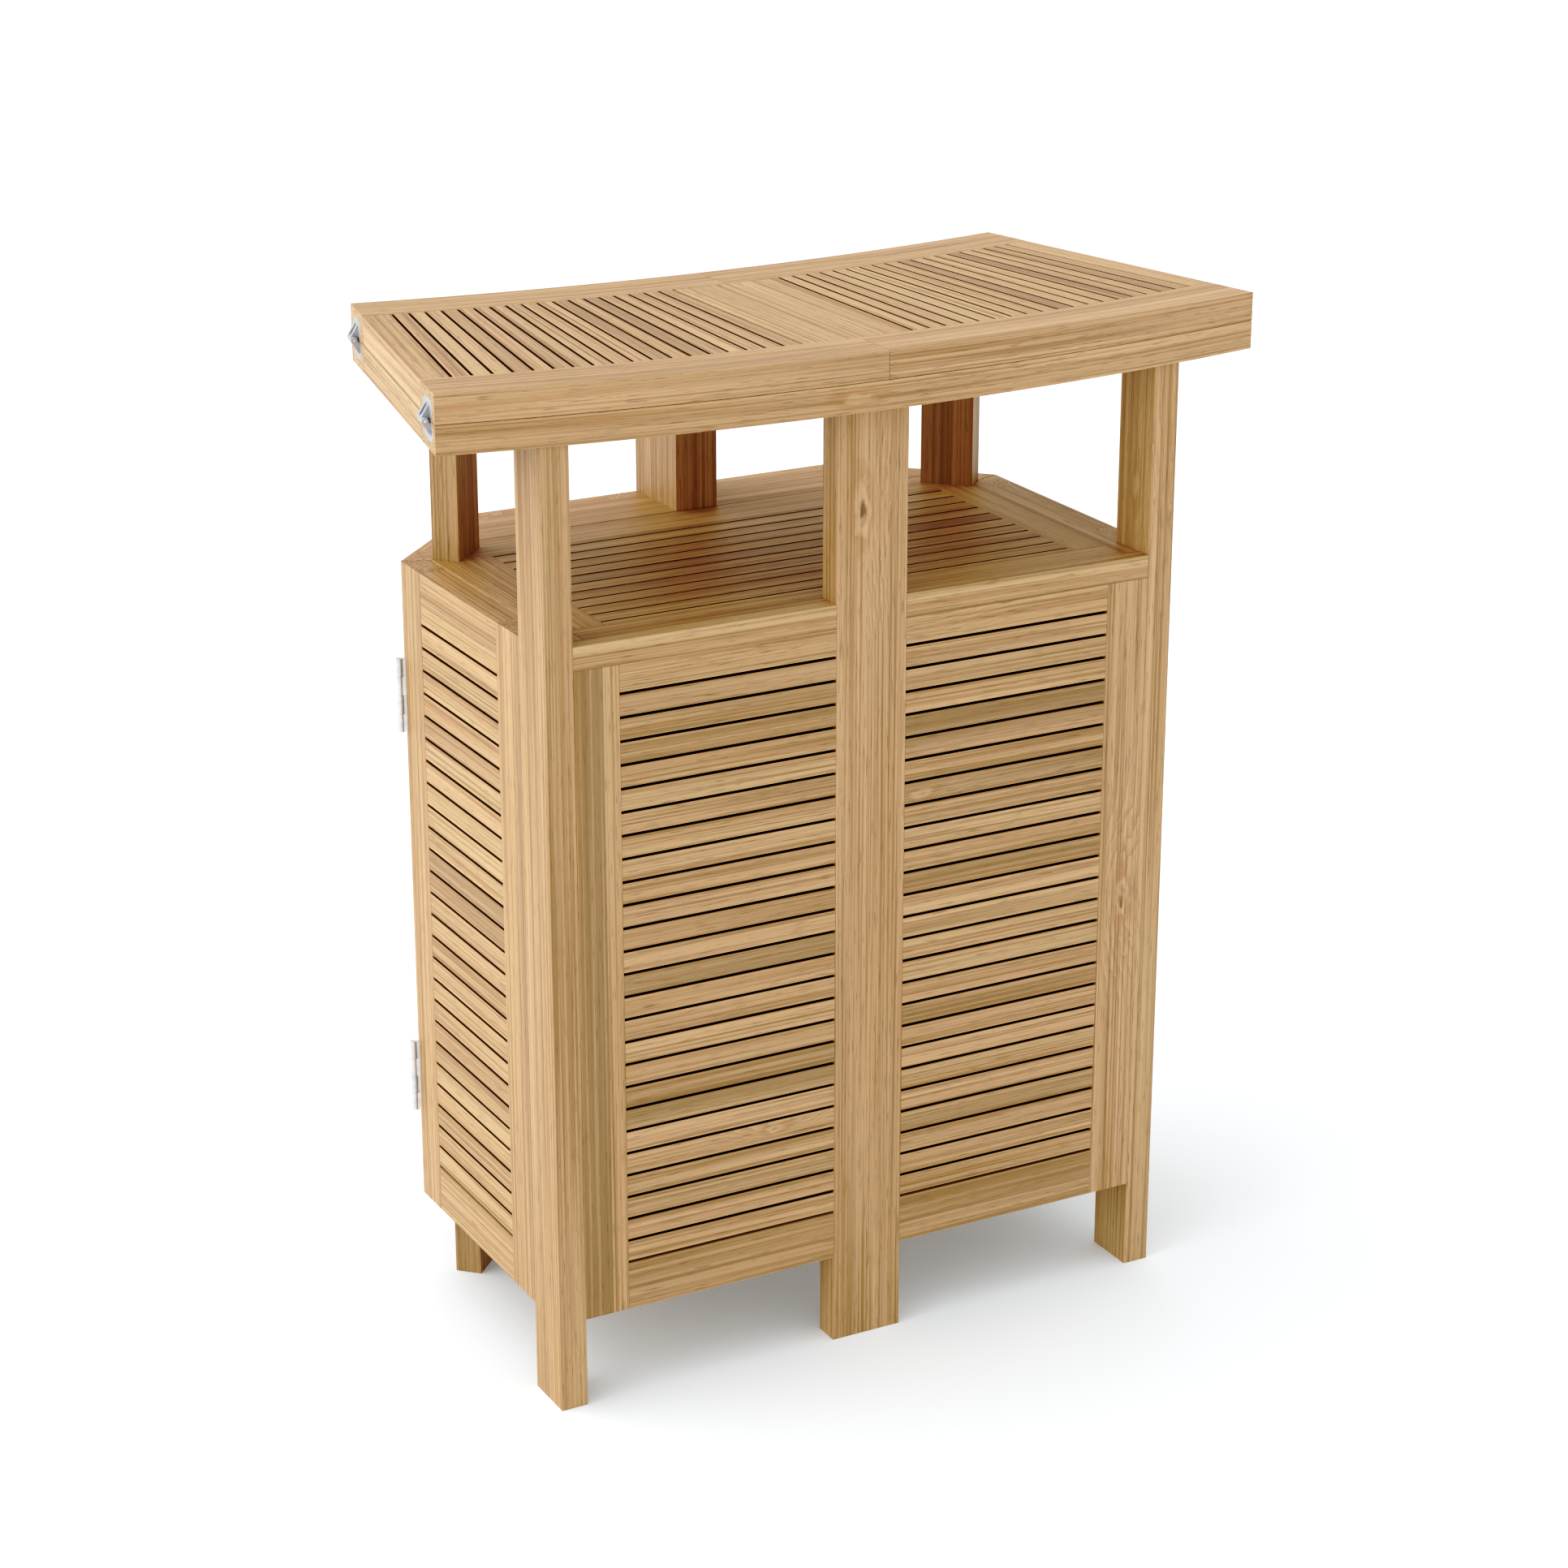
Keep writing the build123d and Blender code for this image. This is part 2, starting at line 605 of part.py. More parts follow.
with BuildPart() as front_left_slats:
    slat_boards(front_left, FRONT_SLOT_Z, SLAT_T)
save(front_left_slats, "front_left_slats")

with BuildPart() as front_right_slats:
    slat_boards(front_right, FRONT_SLOT_Z, SLAT_T)
save(front_right_slats, "front_right_slats")

# ================================================================ side panels
with BuildPart() as left_side_stiles:
    stile_boards([left_side], PANEL_BOTTOM, PANEL_TOP)
    gate_leaf_pockets(-1)
save(left_side_stiles, "left_side_stiles")

with BuildPart() as left_side_rails:
    rail_boards([left_side], PANEL_BOTTOM, PANEL_TOP, SIDE_SLOT_Z)
save(left_side_rails, "left_side_rails")

with BuildPart() as left_side_slats:
    slat_boards(left_side, SIDE_SLOT_Z, SLAT_T)
save(left_side_slats, "left_side_slats")

with BuildPart() as right_side_stiles:
    stile_boards([right_side], PANEL_BOTTOM, PANEL_TOP)
save(right_side_stiles, "right_side_stiles")

with BuildPart() as right_side_rails:
    rail_boards([right_side], PANEL_BOTTOM, PANEL_TOP, SIDE_SLOT_Z)
save(right_side_rails, "right_side_rails")

with BuildPart() as right_side_slats:
    slat_boards(right_side, SIDE_SLOT_Z, SLAT_T)
save(right_side_slats, "right_side_slats")

# ================================================================ serving shelf
LAST_SHELF_SLOT_Y = SHELF_SLOT_Y + SHELF_PITCH * (SHELF_SLOTS - 1)
FIELD_FRONT_Y = SHELF_SLOT_Y - SLOT / 2 - SHELF_EDGE_STRIP_W
FIELD_REAR_Y = LAST_SHELF_SLOT_Y + SLOT / 2 + SHELF_EDGE_STRIP_W
END_BOARD_X = SHELF_SLOT_END_X + SHELF_END_BOARD_W
JAMB_FACE = JAMB_2[0] - JAMB_2[1]        # x - y along the post's inner wide face


def shelf_front_board_outline():
    """The front board reaches round the back of the centre post."""
    front, rear = FRONT_Y + BEAM_D, FIELD_FRONT_Y
    notch = FRONT_Y + FRAME_T
    return [
        (-END_BOARD_X, front), (-CENTRE_X, front), (-CENTRE_X, notch), (CENTRE_X, notch),
        (CENTRE_X, front), (END_BOARD_X, front), (END_BOARD_X, rear), (-END_BOARD_X, rear),
    ]


def shelf_rear_board_outline():
    """The rear board is cut round the two rear posts."""
    trim = 2.0                           # keeps the tips clear of the gate
    left = [
        (JAMB_4[0] + trim, SHELF_REAR_Y),
        (JAMB_4[0] + trim, JAMB_4[1] - trim),
        JAMB_3,
        (JAMB_FACE + FIELD_REAR_Y, FIELD_REAR_Y),
    ]
    return left + [(-x, y) for x, y in reversed(left)]


def shelf_end_board_outline():
    """The end boards lose a corner to the rear posts."""
    return [
        (-END_BOARD_X, FIELD_FRONT_Y),
        (-SHELF_SLOT_END_X, FIELD_FRONT_Y),
        (-SHELF_SLOT_END_X, FIELD_REAR_Y),
        (JAMB_FACE + FIELD_REAR_Y, FIELD_REAR_Y),
        JAMB_2,
        (-END_BOARD_X, JAMB_2[1] + JAMB_2[0] + END_BOARD_X),
    ]


def shelf_side_strip_outline():
    """Narrow strips along the side panels, cut at 45 degrees to the rear posts."""
    return [
        (-SIDE_X, FRONT_Y + BEAM_D),
        (-END_BOARD_X, FRONT_Y + BEAM_D),
        (-END_BOARD_X, JAMB_1[1] - (SIDE_X - END_BOARD_X)),
        (-SIDE_X, JAMB_1[1]),
    ]


with BuildPart() as shelf_cross_boards:
    upright([shelf_front_board_outline(), shelf_rear_board_outline()], BEAM_Z, SHELF_TOP)
save(shelf_cross_boards, "shelf_cross_boards")

with BuildPart() as shelf_end_boards:
    upright(both_sides(shelf_end_board_outline()), BEAM_Z, SHELF_TOP)
save(shelf_end_boards, "shelf_end_boards")

with BuildPart() as shelf_side_strips:
    upright(both_sides(shelf_side_strip_outline()), BEAM_Z, SHELF_TOP)
save(shelf_side_strips, "shelf_side_strips")

with BuildPart() as shelf_slats:
    rows = slot_edges(SHELF_SLOT_Y, SHELF_PITCH, SHELF_SLOTS)
    rows.insert(0, (FIELD_FRONT_Y, FIELD_FRONT_Y + SHELF_EDGE_STRIP_W))
    rows.append((FIELD_REAR_Y - SHELF_EDGE_STRIP_W, FIELD_REAR_Y))
    upright(
        [rectangle(-SHELF_SLOT_END_X, SHELF_SLOT_END_X, near, far) for near, far in rows],
        BEAM_Z, SHELF_TOP,
    )
save(shelf_slats, "shelf_slats")

# ================================================================ inner shelves
INNER_FRONT_Y = FRONT_Y + FRAME_T


def inner_shelf(height):
    """Slats laid side to side on a pair of bearers."""
    room = INNER_SHELF_REAR_Y - INNER_FRONT_Y
    slat = (room - INNER_SLAT_GAP * (INNER_SLATS - 1)) / INNER_SLATS
    for k in range(INNER_SLATS):
        near = INNER_FRONT_Y + k * (slat + INNER_SLAT_GAP)
        upright([rectangle(-SIDE_X, SIDE_X, near, near + slat)], height, height + INNER_SLAT_T)


with BuildPart() as shelf_bearers:
    bearer = rectangle(-SIDE_X, -SIDE_X + BEARER_W, INNER_FRONT_Y, INNER_SHELF_REAR_Y)
    for bottom in (PANEL_BOTTOM, MIDDLE_BEARER_Z, BEAM_Z - BEARER_H):
        upright(both_sides(bearer), bottom, bottom + BEARER_H)
save(shelf_bearers, "shelf_bearers")

with BuildPart() as middle_shelf_slats:
    inner_shelf(MIDDLE_BEARER_Z + BEARER_H)
save(middle_shelf_slats, "middle_shelf_slats")

with BuildPart() as bottom_shelf_slats:
    inner_shelf(PANEL_BOTTOM + BEARER_H)
save(bottom_shelf_slats, "bottom_shelf_slats")

# ================================================================ lower leaf
with BuildPart() as lower_front_rail:
    ring_sector(*FRONT_RAIL, -LEAF_HALF_ANGLE, LEAF_HALF_ANGLE, LOWER_Z, LOWER_Z + LEAF_T)
    leaf_plate_pockets(leaf_hinge_centres[:1], -1)
save(lower_front_rail, "lower_front_rail")

with BuildPart() as lower_rear_rail:
    ring_sector(*REAR_RAIL, -LEAF_HALF_ANGLE, LEAF_HALF_ANGLE, LOWER_Z, LOWER_Z + LEAF_T)
    leaf_plate_pockets(leaf_hinge_centres[1:], -1)
save(lower_rear_rail, "lower_rear_rail")

with BuildPart() as lower_lipping:
    leaf_lipping(LOWER_Z)
save(lower_lipping, "lower_lipping")

with BuildPart() as lower_end_boards:
    upright(both_sides(leaf_end_board_outline()), LOWER_Z, LOWER_Z + LEAF_T)
save(lower_end_boards, "lower_end_boards")

with BuildPart() as lower_centre_board:
    upright([leaf_centre_board_outline()], LOWER_Z, LOWER_Z + LEAF_T)
save(lower_centre_board, "lower_centre_board")

with BuildPart() as lower_left_slats:
    leaf_slats(LOWER_Z, -1)
save(lower_left_slats, "lower_left_slats")

with BuildPart() as lower_right_slats:
    leaf_slats(LOWER_Z, 1)
save(lower_right_slats, "lower_right_slats")

# ================================================================ upper leaf
with BuildPart() as upper_front_rails:
    for ends in ((-LEAF_HALF_ANGLE, -BUTT_JOINT), (BUTT_JOINT, LEAF_HALF_ANGLE)):
        ring_sector(*FRONT_RAIL, *ends, UPPER_Z, UPPER_Z + LEAF_T)
    leaf_plate_pockets(leaf_hinge_centres[:1], 1)
save(upper_front_rails, "upper_front_rails")

with BuildPart() as upper_rear_rails:
    for ends in ((-LEAF_HALF_ANGLE, -BUTT_JOINT), (BUTT_JOINT, LEAF_HALF_ANGLE)):
        ring_sector(*REAR_RAIL, *ends, UPPER_Z, UPPER_Z + LEAF_T)
    leaf_plate_pockets(leaf_hinge_centres[1:], 1)
save(upper_rear_rails, "upper_rear_rails")

with BuildPart() as upper_lipping:
    leaf_lipping(UPPER_Z)
save(upper_lipping, "upper_lipping")

with BuildPart() as upper_end_boards:
    upright(both_sides(leaf_end_board_outline()), UPPER_Z, UPPER_Z + LEAF_T)
save(upper_end_boards, "upper_end_boards")

with BuildPart() as upper_centre_board:
    upright([leaf_centre_board_outline()], UPPER_Z, UPPER_Z + LEAF_T)
save(upper_centre_board, "upper_centre_board")

with BuildPart() as upper_left_slats:
    leaf_slats(UPPER_Z, -1)
save(upper_left_slats, "upper_left_slats")

with BuildPart() as upper_right_slats:
    leaf_slats(UPPER_Z, 1)
save(upper_right_slats, "upper_right_slats")

# ================================================================ leaf hinges
FIXED_RUNS = (-1.5 * LEAF_KNUCKLE_W, 0.5 * LEAF_KNUCKLE_W)
MOVING_RUNS = (-0.5 * LEAF_KNUCKLE_W, 1.5 * LEAF_KNUCKLE_W)

with BuildPart() as leaf_hinge_fixed_plates:
    leaf_hinge_plates(-1, FIXED_RUNS)
save(leaf_hinge_fixed_plates, "leaf_hinge_fixed_plates")

with BuildPart() as leaf_hinge_moving_plates:
    leaf_hinge_plates(1, MOVING_RUNS)
save(leaf_hinge_moving_plates, "leaf_hinge_moving_plates")

with BuildPart() as leaf_hinge_pins:
    for centre in leaf_hinge_centres:
        start = centre + END_OUT * LEAF_HINGE_OUT - END_ALONG * 2 * LEAF_KNUCKLE_W
        with BuildSketch(Plane(origin=start, x_dir=END_OUT, z_dir=END_ALONG)) as pin:
            Circle(LEAF_PIN_R)
        extrude(pin.sketch, amount=4 * LEAF_KNUCKLE_W)
save(leaf_hinge_pins, "leaf_hinge_pins")

with BuildPart() as leaf_hinge_screws:
    screws(leaf_screw_places(leaf_hinge_centres, 1), END_OUT)
save(leaf_hinge_screws, "leaf_hinge_screws")

# ================================================================ gate hinges
with BuildPart() as gate_hinge_fixed_leaves:
    gate_hinge_leaves(-1, (0, 2))
save(gate_hinge_fixed_leaves, "gate_hinge_fixed_leaves")

with BuildPart() as gate_hinge_moving_leaves:
    gate_hinge_leaves(1, (1, 3))
save(gate_hinge_moving_leaves, "gate_hinge_moving_leaves")

with BuildPart() as gate_hinge_pins:
    for middle in GATE_HINGE_Z:
        with BuildSketch(gate_leaf_plane(middle - GATE_HINGE_H / 2)) as pin:
            Circle(GATE_PIN_R)
        extrude(pin.sketch, amount=GATE_HINGE_H)
save(gate_hinge_pins, "gate_hinge_pins")

with BuildPart() as gate_hinge_screws:
    screws(gate_screw_places(1), -GATE_SIDE)
save(gate_hinge_screws, "gate_hinge_screws")

with BuildPart() as cabinet_hinge_screws:
    screws(leaf_screw_places(leaf_hinge_centres, -1), END_OUT)
    screws(gate_screw_places(-1), GATE_SIDE)
save(cabinet_hinge_screws, "cabinet_hinge_screws")

# ================================================================ gate
with BuildPart() as gate_post:
    upright(
        [rectangle(-GATE_POST_W / 2, GATE_POST_W / 2, GATE_Y, REAR_Y)], 0, LOWER_Z - LEG_GAP
    )
save(gate_post, "gate_post")

with BuildPart() as left_corner_stiles:
    stile_boards([left_corner], PANEL_BOTTOM, PANEL_TOP)
    gate_leaf_pockets(1)
save(left_corner_stiles, "left_corner_stiles")

with BuildPart() as left_corner_rails:
    rail_boards([left_corner], PANEL_BOTTOM, PANEL_TOP, SIDE_SLOT_Z)
save(left_corner_rails, "left_corner_rails")

with BuildPart() as left_corner_slats:
    slat_boards(left_corner, SIDE_SLOT_Z, SLAT_T)
save(left_corner_slats, "left_corner_slats")

with BuildPart() as right_corner_stiles:
    stile_boards([right_corner], PANEL_BOTTOM, PANEL_TOP)
save(right_corner_stiles, "right_corner_stiles")

# The magnetic catch sits on the right rear post and holds a plate on the gate.
CATCH_W = 14.0
CATCH_D = 20.0
CATCH_Z = (782.0, 804.0)
STRIKE_T = 1.5
STRIKE_INSET = 1.0         # the strike plate is this much narrower on each side
CATCH_RUN = MITRE_RUN + REAR_POST_W - MITRE_SHIFT


def strike_outline():
    """Plan of the strike plate, let into the inner face of the corner panel."""
    start = CATCH_RUN + STRIKE_INSET
    end = CATCH_RUN + CATCH_W - STRIKE_INSET
    return [
        right_corner.point(start, FRAME_T - STRIKE_T),
        right_corner.point(end, FRAME_T - STRIKE_T),
        right_corner.point(end, FRAME_T),
        right_corner.point(start, FRAME_T),
    ]


def catch_outline():
    """Plan of the magnet block, on the narrow rear face of the post."""
    near, far = FRAME_T + JAMB_GAP, FRAME_T + JAMB_GAP + CATCH_D
    return [
        right_corner.point(CATCH_RUN, near),
        right_corner.point(CATCH_RUN + CATCH_W, near),
        right_corner.point(CATCH_RUN + CATCH_W, far),
        right_corner.point(CATCH_RUN, far),
    ]


with BuildPart() as right_corner_rails:
    rail_boards([right_corner], PANEL_BOTTOM, PANEL_TOP, SIDE_SLOT_Z)
    upright([strike_outline()], *CATCH_Z, mode=Mode.SUBTRACT)
save(right_corner_rails, "right_corner_rails")

with BuildPart() as right_corner_slats:
    slat_boards(right_corner, SIDE_SLOT_Z, SLAT_T)
save(right_corner_slats, "right_corner_slats")

with BuildPart() as gate_strike_plate:
    upright([strike_outline()], *CATCH_Z)
save(gate_strike_plate, "gate_strike_plate")

with BuildPart() as gate_catch:
    upright([catch_outline()], *CATCH_Z)
save(gate_catch, "gate_catch")

with BuildPart() as rear_stiles:
    stile_boards([rear_left, rear_right], PANEL_BOTTOM, PANEL_TOP)
save(rear_stiles, "rear_stiles")

with BuildPart() as rear_rails:
    rail_boards([rear_left, rear_right], PANEL_BOTTOM, PANEL_TOP, SIDE_SLOT_Z)
save(rear_rails, "rear_rails")

with BuildPart() as rear_left_slats:
    slat_boards(rear_left, SIDE_SLOT_Z, REAR_SLAT_T)
save(rear_left_slats, "rear_left_slats")

with BuildPart() as rear_right_slats:
    slat_boards(rear_right, SIDE_SLOT_Z, REAR_SLAT_T)
save(rear_right_slats, "rear_right_slats")

with BuildPart() as gate_ledges:
    ledge = [
        (-GATE_POST_W / 2, GATE_Y),
        (-GATE_POST_W / 2, REAR_INNER_Y),
        P2_INNER,
        (CORNER_INNER + GATE_Y, GATE_Y),
    ]
    for top in (SHELF_TOP, PANEL_BOTTOM + SHELF_T):
        upright(both_sides(ledge), top - SHELF_T, top)
save(gate_ledges, "gate_ledges")

print("nodes written:", len(os.listdir("parts")))
print("leaf hinge axis point", END_FRONT + END_OUT * LEAF_HINGE_OUT, "z", LEAF_AXIS_Z)
print("leaf hinge axis direction", END_ALONG)
print("gate hinge axis point", GATE_PIN)
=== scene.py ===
"""Looks of the folding teak bar cabinet: timber, steel, studio light and camera."""
import bpy
import bmesh
import json
import math
import random
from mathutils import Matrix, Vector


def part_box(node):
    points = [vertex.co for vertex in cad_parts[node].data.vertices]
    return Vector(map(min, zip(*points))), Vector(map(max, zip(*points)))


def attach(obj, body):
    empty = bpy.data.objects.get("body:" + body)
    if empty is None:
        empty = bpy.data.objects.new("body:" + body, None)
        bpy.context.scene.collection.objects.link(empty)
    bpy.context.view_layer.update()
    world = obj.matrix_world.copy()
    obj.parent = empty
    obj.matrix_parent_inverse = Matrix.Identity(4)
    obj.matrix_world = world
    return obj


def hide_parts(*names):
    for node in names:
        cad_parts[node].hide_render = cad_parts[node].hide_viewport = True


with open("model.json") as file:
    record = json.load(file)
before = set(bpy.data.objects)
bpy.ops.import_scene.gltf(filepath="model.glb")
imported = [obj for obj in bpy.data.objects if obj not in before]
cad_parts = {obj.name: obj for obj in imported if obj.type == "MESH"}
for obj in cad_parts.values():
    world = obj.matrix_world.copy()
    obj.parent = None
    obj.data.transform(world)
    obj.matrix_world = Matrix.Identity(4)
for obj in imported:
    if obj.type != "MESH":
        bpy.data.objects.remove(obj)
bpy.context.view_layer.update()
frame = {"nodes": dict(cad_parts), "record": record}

import zlib
from mathutils import Vector

MM = 0.001

SLOT_OF = {part["node"]: part["material_slot"] for part in frame["record"]["subparts"]}
BODY_OF = {
    node: body
    for body, members in frame["record"]["behaviour"]["bodies"].items()
    for node in members
}
STEEL = "hinge_steel"
PLASTIC = "catch_plastic"

# The curved rails and lipping of both leaves are parts of rings about one centre.
LEAF_RADIUS = 2394 * MM
LEAF_CENTRE = Vector((0.0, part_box("upper_front_rails")[0].y + LEAF_RADIUS, 0.0))
CURVED = (
    "upper_front_rails", "upper_rear_rails", "upper_lipping",
    "lower_front_rail", "lower_rear_rail", "lower_lipping",
)
LOOK_OF = {node: "teak_curved" for node in CURVED}
LOOK_OF["leaf_hinge_fixed_plates"] = "plate_steel"
LOOK_OF["leaf_hinge_moving_plates"] = "plate_steel"
LEVEL_SLATS = (
    "upper_left_slats", "upper_right_slats", "lower_left_slats", "lower_right_slats",
    "shelf_slats",
)
INNER_SHELVES = ("middle_shelf_slats", "bottom_shelf_slats")

# ---------------------------------------------------------------- timber choices
PITH_NEAR = 45 * MM                # how far each board was sawn from the heart
PITH_FAR = 160 * MM
LOG_LENGTH = 40.0                  # metres of figure that the boards are cut from
TONE_SPREAD = 0.32                 # ordinary boards vary in tone by this much
DARK_SHARE = 0.20                  # share of boards that come out darker
DARK_LEAST = 0.15                  # and how much darker they are
DARK_MOST = 0.40

# Boards with a tone of their own, from 0, pale honey, to 1, brown heartwood.
# A node's boards are counted from the top, then from the left, then from the front.
BOARD_TONES = {
    "front_right_slats": {
        0: 0.2, 1: 0.35, 2: 0.1, 3: 0.8, 4: 0.5, 9: 0.45, 10: 0.75, 16: 0.65, 17: 0.4,
    },
    "front_left_slats": {2: 0.6, 3: 0.5, 10: 0.5, 12: 0.65, 17: 0.75, 18: 0.4, 23: 0.4},
    "left_side_slats": {10: 0.75, 11: 0.5, 17: 0.4},
    "upper_left_slats": {5: 0.6, 6: 0.45, 12: 0.7, 13: 0.6, 16: 0.45},
    "upper_right_slats": {2: 0.4, 9: 0.6, 13: 0.5},
    "shelf_slats": {4: 0.4, 6: 0.5, 9: 0.45},
    "front_stiles": {0: 0.15, 1: 0.10},
    "upper_end_boards": {0: 0.0, 1: 0.05},
    "lower_end_boards": {0: 0.05, 1: 0.05},
    # The rear posts' darker tones are partly their own tone and partly painted shade from the
    # top over them.
    "rear_left_post": {0: 0.38},
    "rear_right_post": {0: 0.60},
    "gate_post": {0: 0.35},
    "front_centre_post": {0: 0.22},
    "front_left_post": {0: 0.30},
    "front_right_post": {0: 0.2},
    "upper_front_rails": {0: 0.30, 1: 0.25},
    "lower_front_rail": {0: 0.15},
    "upper_centre_board": {0: 0.10},
}

# Knots by node and board: the face it shows on, place along the board (0 to 1), place
# across that face (-1 to 1), size, and how many sizes its heart lies under the surface.
KNOTS = {
    ("front_centre_post", 0): ("wide", 0.896, 0.30, 11 * MM, 0.0),
    ("lower_front_rail", 0): ("edge", 0.462, 0.0, 8 * MM, 0.50),
    ("front_stiles", 1): ("wide", 0.495, -0.2, 9 * MM, 0.2),
    ("front_rails", 1): ("wide", 0.10, 0.2, 8 * MM, 0.4),
    ("front_right_post", 0): ("wide", 0.87, 0.1, 9 * MM, 0.6),
    ("front_right_slats", 6): ("wide", 0.08, 0.2, 6 * MM, 0.3),
    ("rear_right_post", 0): ("wide", 0.94, -0.45, 9 * MM, 0.0),
    ("rear_left_post", 0): ("edge", 0.93, 0.0, 8 * MM, 0.2),
    ("front_left_slats", 20): ("wide", 0.72, -0.2, 5 * MM, 0.4),
}
NO_KNOT = Vector((9.0, 9.0, 9.0))

# Boards glued up from two staves of different tone: place of the joint across the wide
# face (-1 to 1), and how much darker the second stave is.
STAVES = {("front_stiles", 0): (-0.28, 0.75)}
NO_SECOND_STAVE = -1.0

# ---------------------------------------------------------------- boards from CAD
WELD = 0.001 * MM                  # corners of neighbouring faces closer than this are one
FLAT_TURN = math.radians(0.5)      # faces that turn by less than this are merged
EASED_EDGE = 0.6 * MM              # sanded edge on ordinary boards
EASED_THIN = 0.25 * MM             # on the narrow lipping and the level slats
EASED_METAL = 0.25 * MM            # on hinges and screws
WOOD_SHARP = math.radians(28)      # edges that turn by more than this are eased
METAL_SHARP = math.radians(50)     # the barrels of the hinges turn by less at each facet
SHADED_SHARP = math.radians(50)    # edges that turn by more than this are drawn sharp

# towards each corner of a box
CORNER_WAYS = [Vector((x, y, z)) for x in (-1, 1) for y in (-1, 1) for z in (-1, 1)]
ALIGNED = 0.55                     # least cosine between the longest edge and the reach
LONG_ENOUGH = 0.5                  # least share of the reach that the longest edge covers
LEVEL_RISE = 0.2                   # grain that rises by less than this runs level
FORWARDS = Vector((1, 0.9, 0.8))   # grain is counted to the right, to the rear and up
SIDES = (Vector((0, 0, 1)), Vector((0, 1, 0)), Vector((1, 0, 0)))
SIDE_ORDER = 0.01                  # prefers the earlier of two sides equally square

SLOT_SIDE_OF_PANEL = 0.97          # a slot's sides face up and down in a panel,
SLOT_SIDE_OF_LEAF = 0.03           # and sideways in a leaf or shelf


def islands(bm):
    """The separate boards in a node, each as a list of its vertices."""
    waiting = dict.fromkeys(bm.verts)
    found = []
    while waiting:
        seed = next(iter(waiting))
        del waiting[seed]
        island = [seed]
        queue = [seed]
        while queue:
            for edge in queue.pop().link_edges:
                for vert in edge.verts:
                    if vert in waiting:
                        del waiting[vert]
                        island.append(vert)
                        queue.append(vert)
        found.append(island)
    return found


def middle(island):
    """The middle of the box round a board."""
    points = [vert.co for vert in island]
    low = [min(p[i] for p in points) for i in range(3)]
    high = [max(p[i] for p in points) for i in range(3)]
    return Vector([(a + b) / 2 for a, b in zip(low, high)])


def reach_of(points):
    """From one end of a board to the other, corner to corner."""
    corners = [max(points, key=way.dot) for way in CORNER_WAYS]
    reaches = [b - a for a in corners for b in corners]
    return max(reaches, key=lambda reach: reach.length)


def board_axes(island):
    """Along, across and through: the board's own directions."""
    points = [vert.co for vert in island]
    reach = reach_of(points)
    spans = [
        edge.verts[1].co - edge.verts[0].co for vert in island for edge in vert.link_edges
    ]
    longest = max(spans, key=lambda span: span.length)
    along = longest.normalized()
    aligned = abs(along.dot(reach)) >= ALIGNED * reach.length
    if not aligned or longest.length < LONG_ENOUGH * reach.length:
        along = reach.normalized()
        if abs(along.z) < LEVEL_RISE:
            along.z = 0
            along.normalize()
    if along.dot(FORWARDS) < 0:
        along = -along
    squareness = [abs(side.dot(along)) + SIDE_ORDER * k for k, side in enumerate(SIDES)]
    squarest = SIDES[squareness.index(min(squareness))]
    across = along.cross(squarest).normalized()
    through = along.cross(across).normalized()
    width, depth = [
        max(p.dot(axis) for p in points) - min(p.dot(axis) for p in points)
        for axis in (across, through)
    ]
    if depth > width:
        across, through = through, across
    return along, across, through


def counting_order(island):
    """Boards are counted from the top down, then from the left, then from the front."""
    centre = middle(island)
    return (-round(centre.z, 3), round(centre.x, 3), round(centre.y, 3))


def edges_sharper(bm, turn):
    """Edges between two faces that turn by more than this angle."""
    return [
        edge for edge in bm.edges
        if len(edge.link_faces) == 2 and edge.calc_face_angle() > turn
    ]


def rebuild(node, easing, sharp_from):
    """The node's solids as one clean mesh with eased edges and smooth curved faces."""
    bm = bmesh.new()
    bm.from_mesh(frame["nodes"][node].data)
    bmesh.ops.remove_doubles(bm, verts=bm.verts, dist=WELD)
    bmesh.ops.dissolve_limit(bm, angle_limit=FLAT_TURN, verts=bm.verts, edges=bm.edges)
    number = bm.verts.layers.int.new("board")
    boards = sorted(islands(bm), key=counting_order)
    axes = [board_axes(board) for board in boards]
    centres = [middle(board) for board in boards]
    for k, board in enumerate(boards):
        for vert in board:
            vert[number] = k
    bmesh.ops.bevel(
        bm, geom=edges_sharper(bm, sharp_from), offset=easing, offset_type="OFFSET",
        segments=2, profile=0.6, affect="EDGES", clamp_overlap=True, material=-1,
    )
    for face in bm.faces:
        face.smooth = True
    for edge in edges_sharper(bm, SHADED_SHARP):
        edge.smooth = False
    return bm, number, axes, centres


def finish_piece(node, bm):
    """Turns the mesh into the piece that stands for the node."""
    mesh = bpy.data.meshes.new(node + "_piece")
    bm.to_mesh(mesh)
    bm.free()
    piece = bpy.data.objects.new(node + "_piece", mesh)
    bpy.context.scene.collection.objects.link(piece)
    normals = piece.modifiers.new("even_faces", "WEIGHTED_NORMAL")
    normals.keep_sharp = True
    normals.weight = 100
    mesh.materials.append(MATERIALS[LOOK_OF.get(node, SLOT_OF[node])])
    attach(piece, BODY_OF[node])
    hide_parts(node)


def grain_offset(dice):
    """Where in the log this board was sawn: a shift along it and a pith off to one side."""
    angle = dice.uniform(0, 2 * math.pi)
    reach = dice.uniform(PITH_NEAR, PITH_FAR)
    shift = dice.uniform(0, LOG_LENGTH)
    return Vector((shift, reach * math.cos(angle), reach * math.sin(angle)))


